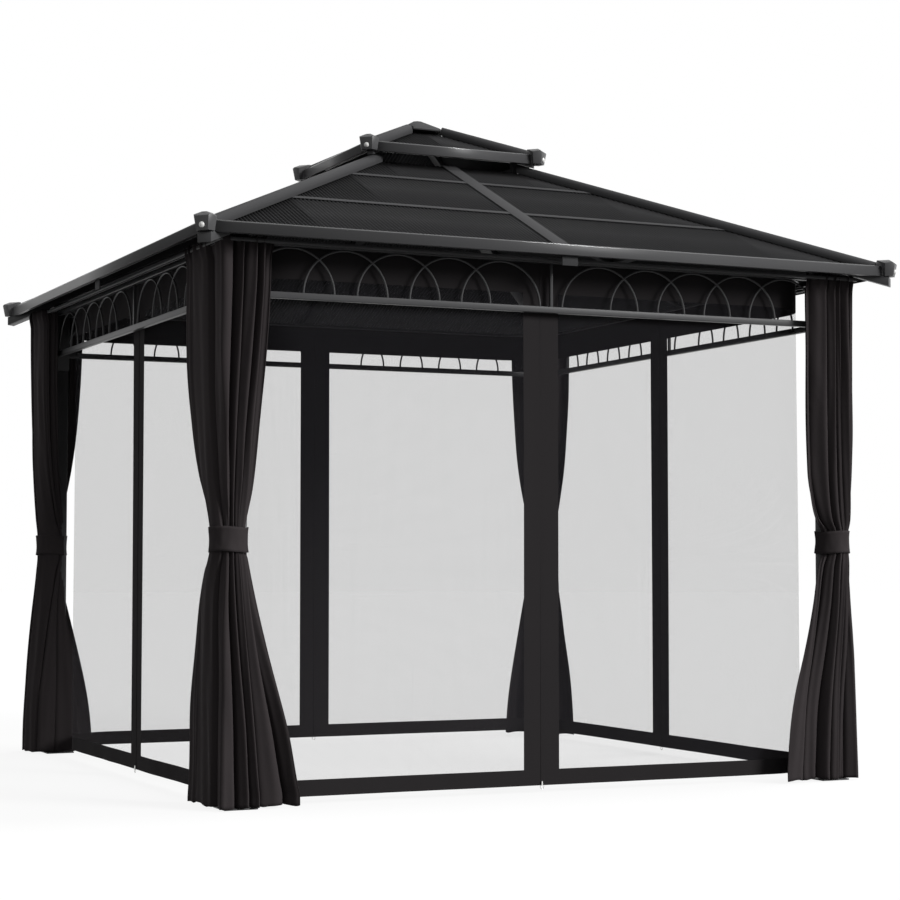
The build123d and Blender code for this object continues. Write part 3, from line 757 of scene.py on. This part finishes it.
def waistPoint(share, shape):
    first, last = shape["waist"]
    angle = math.radians(mix(first, last, share))
    radius = curtain["waistRadius"]
    centre = -curtain["waistCentre"]
    return Vector((centre + shape["shift"][0] + radius * math.cos(angle),
                   centre + shape["shift"][1] + radius * math.sin(angle), 0))


def gatherAt(share, height, shape):
    left, right = [along(table, height) for table in shape["gathers"]]
    return mix(left, right, smooth(0.2, 0.8, share))


def hemShare(height):
    return smooth(curtain["spreadStart"], curtain["spreadEnd"], height)


def spreadLine(height, shape):
    spread = hemShare(height)
    corners = []
    for top, hem in zip(shape["top"], shape["hem"]):
        corners.append((mix(top[0], hem[0], spread), mix(top[1], hem[1], spread)))
    return roundedLine(corners)


def foldSink(place, crest, back, rise, fall, leftDepth, rightDepth):
    # How far the cloth lies behind its outer line, as a share of the fold depth
    if place < crest:
        return mix(leftDepth, back, math.sin(math.pi / 2 * place / crest) ** rise)
    if crest == 1:
        return back
    return mix(rightDepth, back, math.sin(math.pi / 2 * (1 - place) / (1 - crest)) ** fall)


def curtainPoint(number, place, height, shape, line, seed):
    # The outer line, with folds that sink from it, deep at hem and head, shallow and crowded at the waist
    before = shape["folds"][number - 1] if number else (0.0,) * 9
    leftTop, leftWaist, leftHem = before[:3]
    leftDepth = before[-1]
    rightTop, rightWaist, rightHem, crest, backTop, backHem, rise, fall, rightDepth = shape["folds"][number]
    spread = hemShare(height)
    start = mix(leftTop, leftHem, spread)
    end = mix(rightTop, rightHem, spread)
    gathered = gatherAt(mix(start, end, place), height, shape)
    start = mix(start, leftWaist, gathered)
    end = mix(end, rightWaist, gathered)
    share = mix(start, end, place)

    def onLine(at):
        at = min(1.0, max(0.0, at))
        return linePoint(line, at).lerp(waistPoint(at, shape), gathered)

    step = curtain["tangentStep"]
    tangent = (onLine(share + step) - onLine(share - step)).normalized()
    outward = Vector((tangent.y, -tangent.x, 0))
    depth = mix(curtain["foldDepth"], curtain["waistDepth"], gathered)
    wander = curtain["foldWander"] * abs(noise.noise(Vector((number * 5.3 + seed, height * 1.1, seed))))
    back = mix(backTop, backHem, spread) * (1 - curtain["waistLevel"] * gathered) + wander
    shareOfDepth = foldSink(place, crest, back, rise, fall, leftDepth, rightDepth)
    ruffle = smooth(curtain["headerStart"], curtain["header"], height)
    sink = depth * shareOfDepth * (1 - curtain["headLevel"] * ruffle)
    fromLeft = place if number else 1.0
    fromRight = 1 - place if rightDepth > curtain["seamFrom"] and crest < 1 else 1.0
    seam = min(fromLeft, fromRight) * (end - start) * curtain["lineLength"]
    valley = leftDepth if place < 0.5 else rightDepth
    sink += curtain["seamDepth"] * valley * math.exp(-(seam / curtain["seamWidth"]) ** 2)
    lean = curtain["foldLean"] * depth * (1 - shareOfDepth) * math.sin(math.pi * place)
    rippleTurn = 4 * math.pi * place + 5 * noise.noise(Vector((number * 3.1, height * 1.3, seed + 4)))
    ripple = mix(curtain["ripple"], curtain["waistRipple"], gathered) * math.sin(rippleTurn)
    crease = curtain["crease"] * noise.noise(Vector((share * 12 + height * 2, height * 3, seed)))
    ruffleTurn = 2 * math.pi * curtain["rufflesPerFold"] * (number + place) + seed
    stand = curtain["headerStand"] * smooth(curtain["headerStart"], curtain["top"], height)
    stand += curtain["ruffle"] * ruffle * math.sin(ruffleTurn)
    point = onLine(share)
    point += outward * (stand + ripple + crease - sink)
    point += tangent * (lean + curtain["ruffleSway"] * ruffle * math.cos(ruffleTurn))
    point.z = height
    return point


def addCurtain(index, cornerName):
    shape = curtainShapes[cornerName]
    count = len(shape["folds"])
    total = roundedLine(shape["top"])[1][-1]
    widths = []    # of each fold, laid flat: its share of the line and the depth of its valley
    for number, fold in enumerate(shape["folds"]):
        left = shape["folds"][number - 1][0] if number else 0.0
        widths.append((fold[0] - left) * total + curtain["depthUsed"] * curtain["foldDepth"] * fold[-1])
    bm = bmesh.new()
    bmesh.ops.create_grid(bm, x_segments=count * curtain["columnsPerFold"], y_segments=curtain["rows"],
                          size=0.5, calc_uvs=True)
    uvLayer = bm.loops.layers.uv.verify()
    for face in bm.faces:
        for loop in face.loops:
            across = (loop.vert.co.x + 0.5) * count
            number = min(count - 1, int(across))
            u = sum(widths[:number]) + widths[number] * (across - number)
            loop[uvLayer].uv = (u, (loop.vert.co.y + 0.5) * curtain["flatHeight"])
    rowLines = {}
    for vert in bm.verts:
        across = (vert.co.x + 0.5) * count
        number = min(count - 1, int(across))
        rise = round(vert.co.y + 0.5, 5)
        if rise not in rowLines:
            rowLines[rise] = spreadLine(mix(curtain["bottom"], curtain["header"], rise), shape)
        hem = curtain["hemWander"] * abs(noise.noise(Vector((across * 1.1, index, 0.3))))
        head = curtain["headWander"] * noise.noise(Vector((across * 2, index, 4.1)))
        height = mix(curtain["bottom"] + hem, curtain["header"] + head, rise)
        vert.co = curtainPoint(number, across - number, height, shape, rowLines[rise], 1.7 * index + 0.4)
    bmesh.ops.transform(bm, matrix=quarterTurns[index], verts=bm.verts)
    bmesh.ops.recalc_face_normals(bm, faces=bm.faces)
    piece = addPiece(bm, "gathered_curtain_" + cornerName, [curtainCloth], 80)
    addSolidify(piece, curtain["cloth"])
    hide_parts("curtain_" + cornerName)
    return piece, sum(widths)


# Curtain ties: a flat strap pulled round each bundle and its post
tie = {
    "radius": 73 * mm,
    "height": 92 * mm,
    "pinch": 3 * mm,
    "ripple": 2.2 * mm,
    "sway": 3 * mm,
    "cloth": 2.0 * mm,
}


def addTies():
    whole = bmesh.new()
    for index, turn in enumerate(quarterTurns):
        bm = bmesh.new()
        bmesh.ops.create_cone(bm, cap_ends=False, segments=72, radius1=tie["radius"], radius2=tie["radius"],
                              depth=tie["height"])
        upright = [edge for edge in bm.edges if abs(edge.verts[0].co.z - edge.verts[1].co.z) > 10 * mm]
        bmesh.ops.subdivide_edges(bm, edges=upright, cuts=8)
        for vert in bm.verts:
            angle = math.atan2(vert.co.y, vert.co.x)
            level = vert.co.z / tie["height"] * 2
            spot = Vector((math.cos(angle) * 3, math.sin(angle) * 3, index + level))
            radius = tie["radius"] - tie["pinch"] * (1 - level * level) + tie["ripple"] * noise.noise(spot)
            lift = tie["sway"] * math.sin(2 * angle + index)
            vert.co = (radius * math.cos(angle), radius * math.sin(angle), vert.co.z + lift)
        shift = curtainShapes[cornerNames[index]]["shift"]
        middle = -curtain["waistCentre"]
        centre = Matrix.Translation((middle + shift[0], middle + shift[1], curtain["waistHeight"]))
        joinInto(whole, bm, turn @ centre)
    piece = addPiece(whole, "curtain_straps", [curtainCloth], 60)
    addSolidify(piece, tie["cloth"])
    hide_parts("curtain_ties")


for index, cornerName in enumerate(cornerNames):
    piece, flatWidth = addCurtain(index, cornerName)
addTies()
print("curtains made")


# Netting: four pieces round the corners, with woven bands at head, hem and zips
net = {
    "line": 1.2924,           # middle of the netting from the centre
    "cornerRadius": 0.26,
    "headBand": 1.97,         # foot of the woven band at the head
    "hemBand": 0.092,
    "zipBand": 76 * mm,
    "step": 13 * mm,
    "rowStep": 18 * mm,
    "wave": 7 * mm,
    "smallWave": 2 * mm,
    "headHold": 0.35,         # waves grow to their full depth this far under the track
    "zipHold": 0.12,          # and this far from a zip, where a share of them is left
    "zipShare": 0.35,
    "zipWidth": 7 * mm,
    "zipDepth": 3 * mm,
    "zipSide": 2 * mm,        # from the end of a piece to the middle of its zip
    "pullForward": 4 * mm,
    "pullRadius": 5 * mm,
    "pullLength": 16 * mm,
    "ringRadius": 8 * mm,
    "ringWire": 1.3 * mm,
    "ringDrop": 6 * mm,
}


def netPoint(run, leftLeg):
    # Along the left leg to the corner, round it, and along the right leg
    radius = net["cornerRadius"]
    line = net["line"]
    leftRun = leftLeg - radius
    bend = radius * math.pi / 2
    centre = -line + radius
    if run < leftRun:
        return Vector((-line, centre + leftRun - run, 0)), Vector((-1, 0, 0))
    if run < leftRun + bend:
        angle = math.pi + (run - leftRun) / radius
        out = Vector((math.cos(angle), math.sin(angle), 0))
        return Vector((centre, centre, 0)) + radius * out, out
    return Vector((centre + run - leftRun - bend, -line, 0)), Vector((0, -1, 0))


def addNet(index, cornerName):
    low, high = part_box("net_" + cornerName)
    inverse = quarterTurns[index].inverted()
    corners = [inverse @ Vector((x, y, 0)) for x in (low.x, high.x) for y in (low.y, high.y)]
    leftLeg = max(c.y for c in corners) + net["line"]
    rightLeg = max(c.x for c in corners) + net["line"]
    radius = net["cornerRadius"]
    length = leftLeg + rightLeg - 2 * radius + radius * math.pi / 2
    columns = round(length / net["step"])
    rows = round((high.z - low.z) / net["rowStep"])
    bm = bmesh.new()
    bmesh.ops.create_grid(bm, x_segments=columns, y_segments=rows, size=0.5, calc_uvs=True)
    uvLayer = bm.loops.layers.uv.verify()
    for place in (net["zipBand"] / length, 1 - net["zipBand"] / length):
        cutPlane(bm, (place - 0.5, 0, 0), (1, 0, 0), clear=False)
    for edge in (net["hemBand"], net["headBand"]):
        place = (edge - low.z) / (high.z - low.z)
        cutPlane(bm, (0, place - 0.5, 0), (0, 1, 0), clear=False)
    for face in bm.faces:
        middle = face.calc_center_median()
        run = (middle.x + 0.5) * length
        height = mix(low.z, high.z, middle.y + 0.5)
        banded = (height < net["hemBand"] or height > net["headBand"] or run < net["zipBand"]
                  or run > length - net["zipBand"])
        face.material_index = 1 if banded else 0
        for loop in face.loops:
            loop[uvLayer].uv = ((loop.vert.co.x + 0.5) * length,
                                mix(low.z, high.z, loop.vert.co.y + 0.5))
    for vert in bm.verts:
        run = (vert.co.x + 0.5) * length
        height = mix(low.z, high.z, vert.co.y + 0.5)
        point, out = netPoint(run, leftLeg)
        free = smooth(0.0, net["zipHold"], run) * smooth(length, length - net["zipHold"], run)
        hang = smooth(high.z, high.z - net["headHold"], height)
        fold = net["wave"] * noise.noise(Vector((run * 2.4, height * 0.4, index * 2.3)))
        fold += net["smallWave"] * noise.noise(Vector((run * 7, height * 0.8, index + 5)))
        point += out * (fold * hang * mix(net["zipShare"], 1, free))
        point.z = height
        vert.co = point
    bmesh.ops.transform(bm, matrix=quarterTurns[index], verts=bm.verts)
    piece = addPiece(bm, "netting_" + cornerName, [netCloth, bandCloth], 80)
    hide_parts("net_" + cornerName)
    return piece, (length, high.z - low.z)


def addZip(index, sideName):
    # Closed zip over the seam of two pieces, with its pull at the hem
    low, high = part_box("net_" + cornerNames[index])
    inverse = quarterTurns[index].inverted()
    seam = max((inverse @ Vector((x, y, 0))).x for x in (low.x, high.x) for y in (low.y, high.y))
    seam += net["zipSide"]
    bm = bmesh.new()
    bmesh.ops.create_cube(bm, size=1)
    bmesh.ops.scale(bm, vec=(net["zipWidth"], net["zipDepth"], high.z - low.z), verts=bm.verts)
    bmesh.ops.translate(bm, vec=(seam, -net["line"], (high.z + low.z) / 2), verts=bm.verts)
    bmesh.ops.transform(bm, matrix=quarterTurns[index], verts=bm.verts)
    strip = addPiece(bm, "zip_" + sideName, [bandCloth])
    bm = bmesh.new()
    bmesh.ops.create_cone(bm, cap_ends=True, segments=16, radius1=net["pullRadius"],
                          radius2=0.6 * net["pullRadius"], depth=net["pullLength"])
    front = -net["line"] - net["pullForward"]
    bmesh.ops.translate(bm, vec=(seam, front, low.z + net["pullLength"] / 2), verts=bm.verts)
    ring = bmesh.new()
    bmesh.ops.create_circle(ring, segments=10, radius=net["ringWire"])
    bmesh.ops.rotate(ring, matrix=Matrix.Rotation(math.radians(90), 3, "X"), verts=ring.verts)
    bmesh.ops.translate(ring, vec=(net["ringRadius"], 0, 0), verts=ring.verts)
    bmesh.ops.spin(ring, geom=ring.verts[:] + ring.edges[:], axis=(0, 0, 1), cent=(0, 0, 0), steps=24,
                   angle=2 * math.pi, use_merge=True)
    bmesh.ops.rotate(ring, matrix=Matrix.Rotation(math.radians(90), 3, "X"), verts=ring.verts)
    bmesh.ops.translate(ring, vec=(seam, front, low.z - net["ringDrop"]), verts=ring.verts)
    joinInto(bm, ring)
    bmesh.ops.recalc_face_normals(bm, faces=bm.faces)
    bmesh.ops.transform(bm, matrix=quarterTurns[index], verts=bm.verts)
    pull = addPiece(bm, "zip_pull_" + sideName, [zinc], 40)
    return [strip, pull]


for index, cornerName in enumerate(cornerNames):
    piece, flat = addNet(index, cornerName)
    zipPieces = addZip(index, sideNames[index])
print("netting made")


# Stage: a pale floor, white surroundings, soft light and the photograph's camera
stage = {
    "cameraPlace": (-3.9151, -8.8774, 0.8976),
    "cameraYaw": 24.6797,
    "cameraPitch": 3.028,
    "lens": 86.16,
    "floorRadius": 60,
    "floorHex": "#626262",
    "floorGlow": 0.88,        # lifts the floor to white for the camera and in reflections
    "worldLight": 0.34,
    "keyStrength": 3.1,
    "keySpread": 25,
    "keyFrom": (0.62, -0.79, 0.45),
    "rimStrength": 1.3,
    "rimSpread": 14,
    "rimFrom": (0.386, 0.03, 0.92),
}


def addFloor():
    # Its own colour stays mid grey, so that little light comes up from it under the roof
    material, shader = newMaterial("paleFloor", stage["floorHex"], 0.9, Specular_IOR_Level=0.0)
    path = addNode(material, "ShaderNodeLightPath")
    seen = addNode(material, "ShaderNodeMath", {"operation": "MAXIMUM"},
                   {0: path.outputs["Is Camera Ray"], 1: path.outputs["Is Glossy Ray"]})
    glow = addNode(material, "ShaderNodeMath", {"operation": "MULTIPLY", 1: stage["floorGlow"]},
                   {0: seen.outputs["Value"]})
    shader.inputs["Emission Color"].default_value = (1, 1, 1, 1)
    material.node_tree.links.new(glow.outputs["Value"], shader.inputs["Emission Strength"])
    bm = bmesh.new()
    bmesh.ops.create_circle(bm, cap_ends=True, segments=96, radius=stage["floorRadius"])
    newObject(bm, "floor", [material])


def addWorld():
    # White where it is seen, in a reflection and through the netting too, and dimmer as a light
    world = bpy.data.worlds.new("whiteRoom")
    bpy.context.scene.world = world
    world.use_nodes = True
    background = world.node_tree.nodes["Background"]
    background.inputs["Color"].default_value = (1, 1, 1, 1)
    path = addNode(world, "ShaderNodeLightPath")
    seen = addNode(world, "ShaderNodeMath", {"operation": "MAXIMUM"},
                   {0: path.outputs["Is Camera Ray"], 1: path.outputs["Is Glossy Ray"]})
    clear = addNode(world, "ShaderNodeMath", {"operation": "MAXIMUM"},
                    {0: seen.outputs["Value"], 1: path.outputs["Is Transmission Ray"]})
    strength = addNode(world, "ShaderNodeMapRange", {"To Min": stage["worldLight"], "To Max": 1.0},
                       {"Value": clear.outputs["Value"]})
    world.node_tree.links.new(strength.outputs["Result"], background.inputs["Strength"])


def addSun(name):
    data = bpy.data.lights.new(name + "Sun", "SUN")
    data.energy = stage[name + "Strength"]
    data.angle = math.radians(stage[name + "Spread"])
    sun = bpy.data.objects.new(name + "Sun", data)
    sun.rotation_euler = Vector(stage[name + "From"]).to_track_quat("Z", "Y").to_euler()
    bpy.context.scene.collection.objects.link(sun)


def addCamera():
    data = bpy.data.cameras.new("camera")
    data.sensor_width = 36
    data.lens = stage["lens"]
    data.clip_end = 200
    camera = bpy.data.objects.new("camera", data)
    camera.location = stage["cameraPlace"]
    camera.rotation_euler = (math.radians(90 + stage["cameraPitch"]), 0, -math.radians(stage["cameraYaw"]))
    bpy.context.scene.collection.objects.link(camera)
    bpy.context.scene.camera = camera


addFloor()
addWorld()
addSun("key")
addSun("rim")
addCamera()
bpy.context.scene.view_settings.view_transform = "Standard"
print("stage set")
